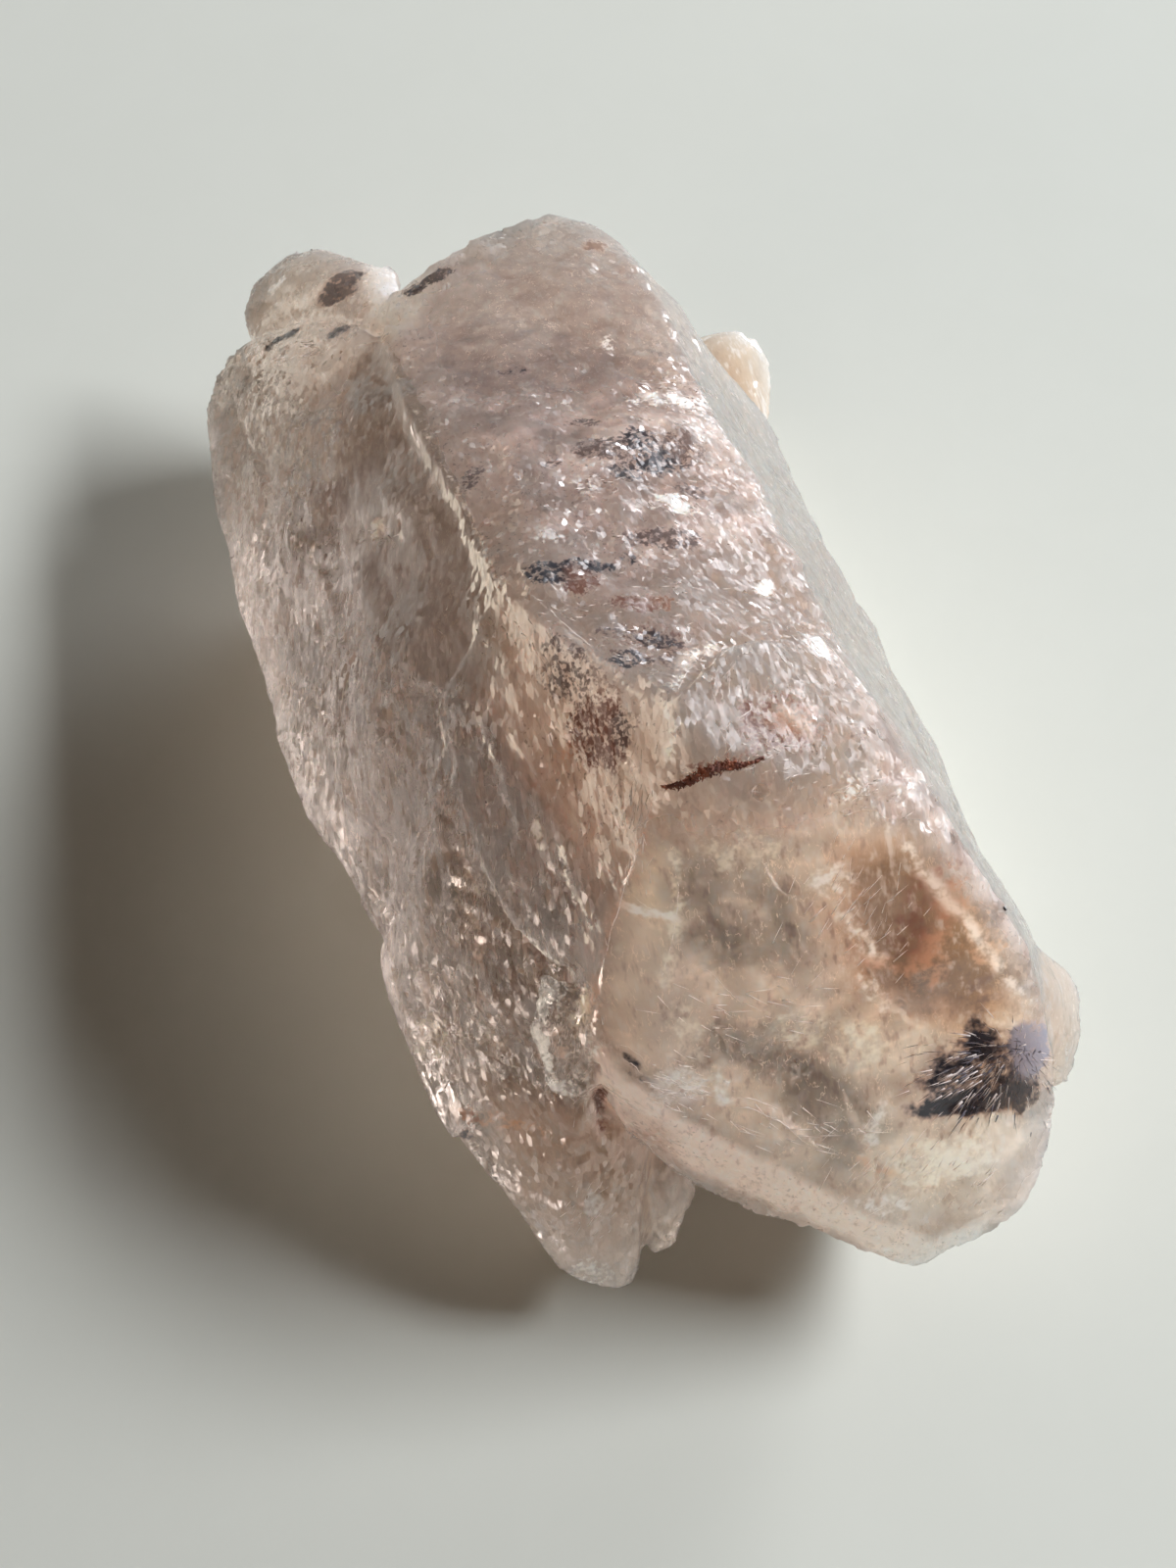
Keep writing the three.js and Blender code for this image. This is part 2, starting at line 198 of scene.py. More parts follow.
# Marks: pixel x and y, length and width in mm, turn in degrees in the picture, pigment, strength
MARKS = [
    # the knob
    (347, 290, 3.0, 2.0, 50, SOOT, 1.0),
    (349, 296, 2.2, 1.4, 30, SOOT, 1.0),
    (345, 338, 1.5, 1.1, 0, SOOT, 1.0),
    (290, 345, 2.6, 0.7, 0, SOOT, 1.0),
    (436, 286, 2.8, 1.1, 15, SOOT, 1.0),
    (282, 292, 1.6, 0.8, 30, MILK, 0.7),
    (275, 320, 2.0, 0.6, 20, MILK, 0.5),
    (400, 295, 1.2, 2.4, 0, MILK, 0.8),
    # the far end of the top face
    (560, 228, 1.2, 0.9, 30, UMBER, 0.6),
    (605, 252, 1.6, 1.2, 0, SMOKE, 0.8),
    (620, 350, 0.7, 1.3, 0, MILK, 0.55),
    (523, 378, 1.4, 0.9, 0, SOOT, 0.6),
    # painted highlights, partly over milky streaks: the next two milk-white marks lie where the top face
    # glints
    (685, 408, 4.6, 1.5, 15, MILK, 0.7),
    (705, 440, 1.4, 2.6, -20, MILK, 0.6),
    (668, 462, 4.8, 3.2, 25, SMOKE, 0.6),
    (650, 448, 1.5, 2.0, 0, SOOT, 0.9),
    (674, 472, 2.2, 1.6, 20, SOOT, 0.95),
    (694, 450, 1.5, 2.0, 0, SMOKE, 1.0),
    (640, 482, 1.8, 1.2, -20, SOOT, 0.8),
    (612, 456, 2.2, 1.6, 10, SMOKE, 1.0),
    (706, 502, 1.8, 1.1, -40, SMOKE, 0.9),
    (598, 430, 1.8, 0.9, 0, SMOKE, 0.9),
    (560, 470, 1.3, 0.9, 30, SMOKE, 0.7),
    (480, 488, 1.1, 2.0, -20, SMOKE, 0.9),
    # painted highlights: the next three milk-white marks lie where the top face glints
    (600, 495, 1.2, 1.6, 20, MILK, 0.5),
    (560, 545, 2.6, 0.9, -30, MILK, 0.6),
    (690, 515, 2.4, 1.0, -40, MILK, 0.8),
    (640, 520, 3.4, 0.7, 10, MILK, 0.4),
    (585, 578, 3.8, 0.9, 12, SOOT, 1.0),
    (592, 594, 1.7, 1.6, 60, UMBER, 1.0),
    (556, 584, 1.6, 1.5, 0, SOOT, 1.0),
    (675, 550, 4.0, 1.4, 8, SMOKE, 0.95),
    (642, 570, 1.0, 0.7, 0, SOOT, 0.7),
    (655, 618, 2.6, 1.3, 20, UMBER, 1.0),
    (668, 655, 4.4, 3.0, 20, UMBER, 0.5),
    (640, 672, 2.2, 1.1, 20, SOOT, 0.9),
    (672, 652, 1.9, 1.1, -10, SOOT, 0.8),
    (690, 674, 1.5, 1.2, 0, SMOKE, 1.0),
    (626, 646, 1.5, 0.9, 10, SMOKE, 0.9),
    (620, 700, 2.0, 1.0, 0, UMBER, 0.4),
    (700, 620, 3.4, 1.4, -20, RUST, 0.2),
    # painted highlights: the next two milk-white marks lie where the top face glints
    (780, 600, 0.9, 1.6, -40, MILK, 0.7),
    (835, 660, 2.2, 1.6, -50, MILK, 0.75),
    # between the ridge and the crest
    (612, 748, 3.6, 3.2, 0, UMBER, 0.95),
    (636, 742, 1.2, 1.4, 0, SOOT, 0.5),
    (575, 770, 1.8, 1.0, 20, RUST, 0.35),
    (575, 680, 3.4, 3.0, 0, SMOKE, 0.7),
    (455, 700, 2.4, 1.6, 0, SMOKE, 0.3),
    (645, 800, 0.7, 3.6, -22, MILK, 0.4),
    (630, 840, 1.4, 2.0, 20, MILK, 0.35),
    # above the clear end
    (800, 738, 4.0, 2.6, 20, UMBER, 0.8),
    (808, 735, 1.8, 1.2, 0, RUST, 0.5),
    (768, 745, 0.4, 2.2, 10, UMBER, 0.6),
    (752, 690, 0.6, 2.4, 10, MILK, 0.5),
    (820, 700, 0.8, 3.0, 20, MILK, 0.4),
    (878, 748, 1.4, 0.7, 20, SMOKE, 0.6),
    # painted highlights, partly over milky streaks: the next two milk-white marks lie where the brow's edge
    # glints
    (870, 800, 2.8, 1.2, 30, MILK, 0.4),
    (925, 800, 1.0, 2.0, -20, MILK, 0.5),
    (728, 785, 5.2, 0.8, 17, UMBER, 0.5),
    # the flank
    # painted highlights: the next two milk-white marks lie where the flank glints
    (385, 540, 1.2, 1.4, 0, MILK, 0.6),
    (265, 605, 1.2, 1.8, 0, MILK, 0.5),
    (300, 470, 0.7, 4.0, -25, UMBER, 0.45),
    (272, 490, 1.2, 1.4, 0, UMBER, 0.45),
    (340, 640, 2.0, 5.0, 10, MILK, 0.25),
    (395, 740, 3.0, 4.0, 0, MILK, 0.3),
    # painted highlights, partly over a real milky streak: the next two milk-white marks lie where the flank
    # glints
    (455, 815, 1.0, 2.2, 20, MILK, 0.4),
    (480, 925, 1.6, 6.0, 5, MILK, 0.4),
    (440, 1060, 2.2, 2.4, 0, CREAM, 0.6),
    (500, 1050, 1.6, 3.0, 20, MILK, 0.4),
    # painted highlight: a milk-white mark where the flank glints
    (548, 850, 0.6, 1.4, 10, MILK, 0.7),
    (582, 1055, 2.4, 5.4, 8, MILK, 0.5),
    (600, 1025, 0.7, 2.2, 0, CREAM, 0.8),
    # painted highlight: a milk-white mark where the raised block glints
    (578, 1112, 1.8, 0.9, -20, MILK, 0.8),
    (500, 1142, 3.0, 0.9, -5, RUST, 0.6),
    (480, 1138, 1.0, 0.6, 0, UMBER, 0.8),
    (560, 1160, 2.4, 0.7, -30, RUST, 0.4),
    (475, 1157, 0.9, 0.9, 0, SOOT, 0.8),
    (410, 1010, 0.8, 2.4, 25, RUST, 0.35),
    (568, 1068, 0.7, 1.4, 0, RUST, 0.5),
    # painted highlight: a milk-white mark where the flank glints
    (605, 1228, 1.0, 1.6, 20, MILK, 0.5),
    (600, 1300, 2.0, 1.8, 0, CREAM, 0.6),
    # the clear end
    (611, 1125, 0.5, 2.8, 5, UMBER, 0.8),
    (648, 1160, 1.8, 0.5, -35, RUST, 0.7),
    (612, 1010, 0.4, 1.6, 10, RUST, 0.5),
    (646, 1082, 1.2, 0.4, -30, SOOT, 0.7),
    (655, 1100, 1.4, 0.35, -20, SOOT, 0.7),
    (690, 1120, 2.0, 0.8, -25, SMOKE, 0.5),
    (690, 1108, 2.4, 2.0, -20, MILK, 0.55),
    # painted highlight: a milk-white mark where the clear end glints
    (735, 1112, 0.8, 1.8, 0, MILK, 0.6),
    (700, 1050, 1.4, 3.2, 20, CREAM, 0.35),
    (850, 900, 2.0, 1.6, 0, MILK, 0.4),
    (880, 960, 3.4, 1.0, -50, MILK, 0.4),
    (890, 1012, 2.4, 1.0, -60, MILK, 0.4),
    (950, 925, 2.6, 5.0, -25, UMBER, 0.45),
    (815, 1050, 3.0, 2.2, 0, CREAM, 0.3),
    (880, 1065, 2.6, 2.2, 0, CREAM, 0.4),
    (890, 1150, 0.8, 3.4, -20, MILK, 0.5),
    (940, 1190, 3.0, 2.6, 0, CREAM, 0.5),
    (985, 1180, 2.6, 2.2, 0, CREAM, 0.6),
    (900, 1230, 2.6, 1.2, -20, MILK, 0.5),
    (760, 870, 3.6, 2.0, -10, CREAM, 0.3),
    (948, 985, 1.8, 3.0, -20, RUST, 0.4),
    (968, 930, 1.2, 3.4, -25, RUST, 0.25),
    (1005, 955, 2.0, 3.4, 25, RUST, 0.4),
    (1040, 1118, 2.2, 2.0, 0, SOOT, 0.85),
    (900, 985, 2.8, 0.7, -15, RUST, 0.35),
    (885, 1188, 3.6, 0.5, -30, RUST, 0.35),
    (1010, 1010, 2.4, 1.8, 0, SMOKE, 0.35),
    (994, 1098, 5.2, 3.6, 10, SOOT, 0.6),
    (982, 1125, 4.6, 1.2, -3, SOOT, 0.75),
    (1000, 1058, 1.4, 2.4, 20, SOOT, 0.6),
    (1052, 1070, 1.7, 2.8, 5, HAZE, 1.0),
]

# Places where the clear end lets the eye in deepest: pixel x and y, length and width in mm, turn
DEEP_PLACES = [
    (722, 920, 2.6, 4.4, 15), (760, 965, 3.4, 1.6, -20), (795, 925, 1.6, 3.2, 30),
    (835, 1115, 3.0, 4.4, 10), (800, 1085, 3.2, 1.4, -30), (755, 1065, 3.6, 1.8, 10),
    (870, 1160, 2.2, 2.6, -20), (935, 1010, 1.6, 3.0, -30),
]

# Lines on the surface: pixel points, half width in mm, height in mm, pigment, strength
LINES = {
    "ridge": (
        [(372, 300), (400, 370), (425, 420), (460, 492), (487, 540), (505, 588), (555, 618), (610, 672),
         (645, 703), (680, 722)],
        0.14, 0.03, CREAM, 0.55),
    "step_up": ([(680, 722), (690, 695), (702, 672), (726, 657)], 0.28, 0.08, CREAM, 0.75),
    "step_down": ([(680, 722), (686, 745), (680, 775)], 0.22, 0.10, CREAM, 0.7),
    "strip_edge": ([(686, 868), (694, 920), (688, 960), (676, 1005)], 0.22, 0.06, CREAM, 0.5),
    "strip_top": ([(632, 920), (660, 935), (688, 936)], 0.14, 0.05, MILK, 0.8),
    "left_edge": ([(665, 820), (648, 870), (628, 930), (612, 985), (604, 1040)], 0.30, 0.08, RUST, 0.35),
    "crease": ([(458, 775), (432, 850), (420, 905), (388, 958)], 0.35, -0.22, UMBER, 0.3),
    "crevice": ([(607, 1090), (611, 1125), (617, 1152)], 0.25, -0.30, UMBER, 0.6),
    "right_edge": ([(800, 720), (870, 800), (935, 880), (1000, 960), (1045, 1020)], 0.22, 0.05, PEARL, 0.4),
}

# Thin cracks that healed milky, just under the surface: pixel points
HEALED_CRACKS = [
    [(690, 990), (704, 985), (722, 990), (738, 1008), (756, 1022), (778, 1028), (806, 1042)],
    [(738, 1128), (765, 1130), (792, 1142), (814, 1158), (832, 1172)],
    [(742, 1120), (770, 1122), (800, 1136)],
    [(632, 916), (646, 926), (662, 934), (688, 938)],
    [(640, 908), (660, 922), (676, 926)],
    [(688, 872), (694, 905), (690, 940), (682, 975), (672, 1008)],
    [(664, 822), (652, 856), (640, 890), (628, 930), (616, 968), (608, 1010)],
    [(624, 1062), (640, 1068), (654, 1080), (664, 1098)],
    [(630, 1078), (646, 1086), (656, 1100)],
    [(672, 1098), (690, 1104), (704, 1116), (712, 1134)],
    [(726, 657), (716, 672), (700, 684), (690, 704), (682, 722)],
    [(748, 676), (742, 690), (740, 706), (732, 722)],
    [(770, 716), (762, 730), (752, 738)],
    [(430, 862), (420, 900), (404, 930), (388, 958)],
    [(505, 588), (540, 606), (570, 634), (600, 660), (630, 690), (668, 716)],
]

# Milky veils inside the clear end: pixel points of the near edge, how many pixels the veil leans to the right
# and down for each mm of depth, and the depth of its near and far edge in mm
VEILS = [
    ([(684, 996), (712, 986), (748, 1012), (812, 1044)], (7, 13), 0.08, 1.5),
    ([(846, 880), (868, 925), (900, 958), (908, 1012)], (-16, 5), 0.10, 1.7),
    ([(732, 1126), (775, 1132), (835, 1174)], (10, -13), 0.08, 1.4),
    ([(862, 1112), (888, 1158), (902, 1222)], (-15, 4), 0.10, 1.6),
    ([(948, 1150), (972, 1186), (990, 1228)], (-14, 9), 0.08, 1.5),
    ([(694, 1084), (716, 1108), (734, 1152)], (-12, 10), 0.08, 1.3),
    ([(772, 872), (790, 905), (842, 930)], (12, 10), 0.12, 1.6),
    ([(905, 1040), (880, 1072), (862, 1098)], (-12, -6), 0.10, 1.4),
]

# Sheaves of fine milky fibres, which in part are painted highlights, pale where the surface sparkles: pixel x
# and y, spread in pixels to the side and down, turn in degrees in the picture, count, longest in mm
FIBRE_AND_SPARKLE_SHEAVES = [
    (480, 925, 10, 34, 85, 130, 1.0), (455, 815, 6, 12, 80, 40, 0.9), (582, 1055, 14, 32, 80, 100, 0.9),
    (700, 1108, 22, 14, -25, 90, 0.8), (870, 925, 34, 34, 60, 50, 1.2), (770, 1030, 44, 16, -15, 34, 1.2),
    (820, 1150, 44, 12, -28, 36, 1.2), (905, 1190, 34, 26, 60, 60, 1.2), (690, 405, 24, 12, 15, 70, 0.8),
    (700, 520, 12, 14, -40, 36, 0.7), (605, 495, 10, 10, 20, 24, 0.6), (385, 545, 12, 9, 0, 24, 0.6),
    (312, 358, 20, 7, 10, 30, 0.9), (830, 665, 20, 14, -50, 44, 0.7), (895, 812, 28, 12, 30, 44, 0.7),
    (650, 820, 10, 36, 75, 70, 0.9), (735, 680, 12, 18, 60, 36, 0.8), (400, 700, 36, 54, 80, 80, 0.8),
    (330, 680, 28, 60, 80, 60, 0.7), (602, 1235, 12, 12, 60, 30, 0.6), (460, 1060, 28, 28, 80, 50, 0.7),
    (540, 640, 36, 20, -40, 60, 0.5), (640, 600, 50, 40, 10, 70, 0.6), (1000, 1210, 18, 12, 60, 24, 0.8),
    (780, 780, 40, 18, 20, 60, 0.6), (540, 900, 30, 60, 78, 90, 0.7), (430, 900, 24, 50, 78, 60, 0.7),
]

# Small flat faces that catch the light: pixel x and y, radius in mm
GLINTS = [
    (385, 540, 0.45), (265, 600, 0.35), (340, 650, 0.25), (610, 490, 0.35), (690, 515, 0.55),
    (320, 735, 0.3), (390, 740, 0.35), (455, 818, 0.7), (780, 600, 0.35), (835, 660, 0.5), (733, 1104, 0.4),
    (736, 1119, 0.4), (575, 1118, 0.45), (605, 1228, 0.5), (800, 1010, 0.4), (925, 800, 0.25),
    (700, 410, 0.35), (440, 530, 0.25), (335, 560, 0.25), (560, 545, 0.3), (655, 398, 0.45),
    (550, 850, 0.35), (640, 780, 0.35), (775, 808, 0.3), (868, 808, 0.3), (490, 960, 0.4), (470, 905, 0.4),
    (480, 890, 0.25), (478, 930, 0.3), (494, 975, 0.25), (430, 1060, 0.3), (585, 1040, 0.35),
    (575, 1075, 0.3), (350, 660, 0.25), (395, 760, 0.3), (360, 690, 0.25), (300, 720, 0.25),
    (415, 700, 0.25), (640, 790, 0.3), (600, 1240, 0.3), (323, 653, 0.3), (470, 870, 0.25), (486, 912, 0.3),
    (474, 945, 0.25), (488, 945, 0.25), (450, 805, 0.3), (462, 826, 0.35), (560, 1015, 0.25),
    (592, 1090, 0.3), (548, 838, 0.25), (575, 1050, 0.25), (560, 1085, 0.25), (300, 540, 0.25),
    (612, 1222, 0.35),
]


def ray_through(px, py):
    """The direction in which the camera sees a pixel of the photograph."""
    across = (px - PHOTO_WIDTH / 2) / FOCAL_LENGTH
    upward = (PHOTO_HEIGHT / 2 - py) / FOCAL_LENGTH
    return (TO_RIGHT * across + TO_TOP * upward - TO_CAMERA).normalized()


def place_camera():
    data = bpy.data.cameras.new("photo_camera")
    data.sensor_width = SENSOR
    data.lens = FOCAL_LENGTH / PHOTO_HEIGHT * SENSOR
    data.clip_start = 5 * MM
    camera = bpy.data.objects.new("photo_camera", data)
    bpy.context.scene.collection.objects.link(camera)
    turn = Matrix((TO_RIGHT, TO_TOP, TO_CAMERA)).transposed()
    camera.matrix_world = Matrix.Translation(EYE) @ turn.to_4x4()
    bpy.context.scene.camera = camera


def toward(azimuth, elevation):
    """The direction of a place that is given by its azimuth and elevation in degrees."""
    azimuth, elevation = math.radians(azimuth), math.radians(elevation)
    return Vector((math.cos(azimuth) * math.cos(elevation), math.sin(azimuth) * math.cos(elevation),
                   math.sin(elevation)))


def place_lamp(name, direction, distance, width, height, power, colour):
    """A soft rectangular lamp that faces the stone."""
    data = bpy.data.lights.new(name, "AREA")
    data.shape = "RECTANGLE"
    data.size, data.size_y = width, height
    data.energy = power
    data.color = colour
    lamp = bpy.data.objects.new(name, data)
    bpy.context.scene.collection.objects.link(lamp)
    way = toward(*direction)
    lamp.location = Vector((0, 0, 10 * MM)) + way * distance
    lamp.rotation_euler = way.to_track_quat("Z", "Y").to_euler()


def light_studio():
    world = bpy.data.worlds.new("studio")
    world.use_nodes = True
    backdrop = world.node_tree.nodes["Background"]
    backdrop.inputs["Color"].default_value = ROOM_COLOUR
    backdrop.inputs["Strength"].default_value = ROOM_STRENGTH
    bpy.context.scene.world = world
    for name, lamp in LAMPS.items():
        place_lamp(name, *lamp)
    bpy.context.scene.view_settings.view_transform = "Standard"


# Meshes as arrays


def mesh_arrays(mesh):
    points = np.empty(len(mesh.vertices) * 3)
    mesh.vertices.foreach_get("co", points)
    corners = np.empty(len(mesh.loops), int)
    mesh.loops.foreach_get("vertex_index", corners)
    return points.reshape(-1, 3), corners.reshape(-1, 4)


def summed(faces, values, count):
    """For each point, the sum of a value over the faces around it."""
    total = np.zeros((count, values.shape[1]))
    for corner in faces.T:
        for axis in range(values.shape[1]):
            total[:, axis] += np.bincount(corner, values[:, axis], count)
    return total


def unit(vectors):
    return vectors / (np.linalg.norm(vectors, axis=-1, keepdims=True) + 1e-20)


def face_normals(points, faces):
    first, second, third, fourth = points[faces].transpose(1, 0, 2)
    return unit(np.cross(third - first, fourth - second))


def point_normals(points, faces):
    return unit(summed(faces, face_normals(points, faces), len(points)))


def neighbours(faces):
    """The pairs of faces that share an edge."""
    edges = np.concatenate([faces[:, [k, (k + 1) % 4]] for k in range(4)])
    owner = np.tile(np.arange(len(faces)), 4)
    edges.sort(axis=1)
    order = np.lexsort((edges[:, 1], edges[:, 0]))
    edges, owner = edges[order], owner[order]
    same = (edges[1:] == edges[:-1]).all(1)
    return owner[:-1][same], owner[1:][same]


def flattened(points, faces, rounds=8, edge=0.03):
    """Evens out each face of the stone and keeps the edges between them."""
    one, other = neighbours(faces)
    normals = face_normals(points, faces)
    for _ in range(rounds):
        bend = 1 - (normals[one] * normals[other]).sum(1)
        weight = np.exp(-(bend / edge) ** 2)
        mixed = normals.copy()
        for axis in range(3):
            mixed[:, axis] += np.bincount(one, weight * normals[other, axis], len(faces))
            mixed[:, axis] += np.bincount(other, weight * normals[one, axis], len(faces))
        normals = unit(mixed)
    count = np.bincount(faces.ravel(), minlength=len(points))[:, None]
    for _ in range(rounds):
        middles = points[faces].mean(1)
        step = np.zeros_like(points)
        for corner in faces.T:
            away = ((middles - points[corner]) * normals).sum(1)[:, None] * normals
            step += summed(corner[:, None], away, len(points))
        points = points + step / count
    return points


def ramp(low, high, value):
    """From 0 at low to 1 at high, smooth between them and even beyond them. Either may be the larger."""
    part = np.clip((value - low) / (high - low), 0, 1)
    return part * part * (3 - 2 * part)


# Forms of the surface


def swell(points, size):
    """Slow random waves, from -1 to 1."""
    return np.array([noise.noise(Vector(p)) for p in points / size])


def drift(points, size):
    """The same waves in three directions."""
    return np.array([noise.noise_vector(Vector(p)) for p in points / size])


def flank_share(points):
    """1 on the smaller crystal's side, and 0 on the larger crystal."""
    return ramp(FLANK_STARTS, FLANK_FULL, points[:, 1])


def leaning_faces(points, size, lean, stretch=(1, 1, 1)):
    """Little broken faces, each leaning its own way: a height for each point."""
    height = np.empty(len(points))
    for row, p in enumerate(points / size * np.array(stretch)):
        point = Vector(p)
        middle = noise.voronoi(point)[1][0]
        slope = noise.cell_vector(middle * 97.3) * 2 - Vector((1, 1, 1))
        height[row] = (point - middle).dot(slope)
    return height * size * lean


def path_distance(points, path):
    nearest = np.full(len(points), np.inf)
    for start, end in zip(path[:-1], path[1:]):
        along = end - start
        share = np.clip(((points - start) @ along) / (along @ along), 0, 1)
        nearest = np.minimum(nearest, np.linalg.norm(points - start - share[:, None] * along, axis=1))
    return nearest


class Stone:
    """The crystal's fine surface while it is being shaped and painted."""

    def __init__(self, node):
        rough = bpy.data.objects.new("quartz_crystal", node.data.copy())
        bpy.context.scene.collection.objects.link(rough)
        remesh = rough.modifiers.new("remesh", "REMESH")
        remesh.mode = "VOXEL"
        remesh.voxel_size = VOXEL
        fine = rough.evaluated_get(bpy.context.evaluated_depsgraph_get())
        rough.data = bpy.data.meshes.new_from_object(fine)
        rough.modifiers.clear()
        self.piece = rough
        self.points, self.faces = mesh_arrays(rough.data)
        self.points = flattened(self.points, self.faces)
        self.resolve()
        self.wobble = sum(drift(self.points, size) * reach * MM for size, reach in WOBBLE)
        self.project()

    def seen(self, px, py):
        """The point and normal of the surface that the photograph shows at a pixel."""
        point, normal, _, _ = self.tree.ray_cast(EYE, ray_through(px, py))
        if point is None:
            point, normal, _, _ = self.tree.find_nearest(EYE + ray_through(px, py) * VIEW_DISTANCE)
        return point, normal

    def within(self, px, py, depth):
        """The point at a depth under the surface that refraction shows at a pixel."""
        point, normal = self.seen(px, py)
        ray = ray_through(px, py)
        ratio = 1 / IOR
        facing = -normal.dot(ray)
        bent = ray * ratio + normal * (ratio * facing - math.sqrt(1 - ratio ** 2 * (1 - facing ** 2)))
        return point + bent * depth

    def resolve(self):
        """Reads the surface again after its points have moved."""
        self.normals = point_normals(self.points, self.faces)
        self.tree = BVHTree.FromPolygons(self.points.tolist(), self.faces.tolist())

    def project(self):
        """Where each point lies in the photograph, and how squarely it faces the camera: 0 if it is hidden."""
        offset = self.points - np.array(EYE)
        depth = -(offset @ np.array(TO_CAMERA))
        across, upward = offset @ np.array(TO_RIGHT), offset @ np.array(TO_TOP)
        self.pixels = np.stack([PHOTO_WIDTH / 2 + across / depth * FOCAL_LENGTH,
                                PHOTO_HEIGHT / 2 - upward / depth * FOCAL_LENGTH], 1)
        self.facing = -(self.normals * unit(offset)).sum(1)
        first = [self.tree.ray_cast(EYE, Vector(way))[3] for way in unit(offset)]
        first = np.array([VIEW_DISTANCE if reach is None else reach for reach in first])
        self.facing *= ramp(1.6 * MM, 0.8 * MM, np.linalg.norm(offset, axis=1) - first)

    def outlined(self, outline, soft):
        """From 0 to 1, how far each point is inside an outline of photo pixels, on the side that is seen."""
        shift = np.stack([self.wobble @ np.array(TO_RIGHT), -self.wobble @ np.array(TO_TOP)], 1)
        spots = self.pixels + shift * PIXELS_PER_MM / MM * (0.4 + soft)
        inside = np.zeros(len(spots), bool)
        nearest = np.full(len(spots), np.inf)
        for (ax, ay), (bx, by) in zip(outline, outline[1:] + outline[:1]):
            start, side = np.array([ax, ay]), np.array([bx - ax, by - ay])
            share = np.clip(((spots - start) @ side) / (side @ side), 0, 1)
            nearest = np.minimum(nearest, np.linalg.norm(spots - start - share[:, None] * side, axis=1))
            crosses = (ay > spots[:, 1]) != (by > spots[:, 1])
            inside ^= crosses & (spots[:, 0] < ax + (bx - ax) * (spots[:, 1] - ay) / ((by - ay) or 1e-9))
        depth = np.where(inside, nearest, -nearest) / PIXELS_PER_MM
        return ramp(-soft, soft, depth) * ramp(0.0, 0.2, self.facing)

    def path(self, pixels):
        return [np.array(self.seen(px, py)[0]) for px, py in pixels]

    def spot(self, px, py, length, width, turn, ragged=1.0):
        """How strongly each point lies in an oval mark: 1 inside, 0 outside, with an uneven edge."""
        centre, normal = self.seen(px, py)
        turn = math.radians(turn)
        along = TO_RIGHT * math.cos(turn) + TO_TOP * math.sin(turn)
        along = (along - normal * along.dot(normal)).normalized()
        across = normal.cross(along)
        offset = self.points + self.wobble * ragged * (0.4 + 0.35 * min(length, width)) - np.array(centre)
        radial = np.sqrt((offset @ np.array(along) / (length * MM / 2)) ** 2
                         + (offset @ np.array(across) / (width * MM / 2)) ** 2
                         + (offset @ np.array(normal) / (max(length, width) * MM / 2)) ** 2)
        return ramp(1.0 + 0.35 * ragged, 1.0 - 0.35 * min(ragged, 2.0), radial)


def evened(points, faces, share, rounds):
    """Evens out the points where share is 1."""
    count = np.bincount(faces.ravel(), minlength=len(points))[:, None]
    for _ in range(rounds):
        around = summed(faces, points[faces].mean(1), len(points)) / count
        points = points + (around - points) * share[:, None]
    return points


def clouds(points, size, amount):
    """Cloudy patches with an uneven edge, from 0 to 1, over about this share of the surface."""
    depth = np.array([noise.fractal(Vector(p), 0.8, 2.0, 5) for p in points / size])
    low = 0.4 - 0.8 * amount
    return ramp(low - 0.25, low + 0.25, depth)


def tinted(colour, mask, pigment):
    return colour + (np.array(pigment) - colour) * mask[:, None]


def regions(stone):
    """The body colour, see-through share and smoothness of each point, and the mask of the clear end."""
    across, height = stone.points[:, 1], stone.points[:, 2]
    from_ledge = np.linalg.norm(stone.points - np.array(stone.seen(*LEDGE_MIDDLE)[0]), axis=1)
    clean_side = ramp(0.55, 0.85, stone.normals[:, 1]) * ramp(2 * MM, 6 * MM, across)
    ledge = ramp(7.0 * MM, 5.0 * MM, from_ledge) * ramp(LEDGE_TOP + 1.5 * MM, LEDGE_TOP, height)
    masks = {name: stone.outlined(outline, soft) for name, (outline, soft, *_) in REGIONS.items()}
    layers = [(clean_side, *CLEAN_SIDE)]
    layers += [(masks[name], *values) for name, (_, _, *values) in REGIONS.items()]
    layers.append((ledge, *LEDGE))

    flank = flank_share(stone.points)
    see, smooth = 0.66 + 0.3 * ramp(-5 * MM, -11 * MM, across), np.zeros(len(flank))
    see *= 1 - 0.35 * (1 - 0.6 * flank) * clouds(stone.points, 1.5 * MM, 0.5)
    tone = tinted(np.array([PINK]), clouds(stone.points, 2.6 * MM, 0.5), TAUPE)
    tone = tinted(tone, 0.38 * clouds(stone.points + 9 * MM, 1.1 * MM, 0.4), SMOKE)
    tone = tinted(tone, 0.75 * flank, SAND)
    for mask, pigment, amount, through, even in layers:
        tone = tinted(tone, mask * amount, pigment)
        see = see * (1 - mask) + through * mask
        smooth = smooth * (1 - mask) + even * mask
    return tone, see, smooth, masks["clear_end"]


def veiled(stone, see, window):
    """Takes milky wisps out of the see-through share of the clear end."""
    warp = drift(stone.points, 4 * MM) * 2.4 * MM
    wisps = swell(stone.points + warp, 1.8 * MM)
    threads = swell(stone.points - warp, 0.9 * MM)
    milk = 0.54 + 0.25 * ramp(-0.45, 0.45, wisps)
    milk += 0.25 * ramp(0.10, 0.0, np.abs(threads)) * ramp(-0.1, 0.3, wisps)
    for px, py, length, width, turn in DEEP_PLACES:
        milk = milk * (1 - 0.6 * stone.spot(px, py, length, width, turn, 2.2))
    return see * (1 - window * np.clip(milk, 0, 0.9))


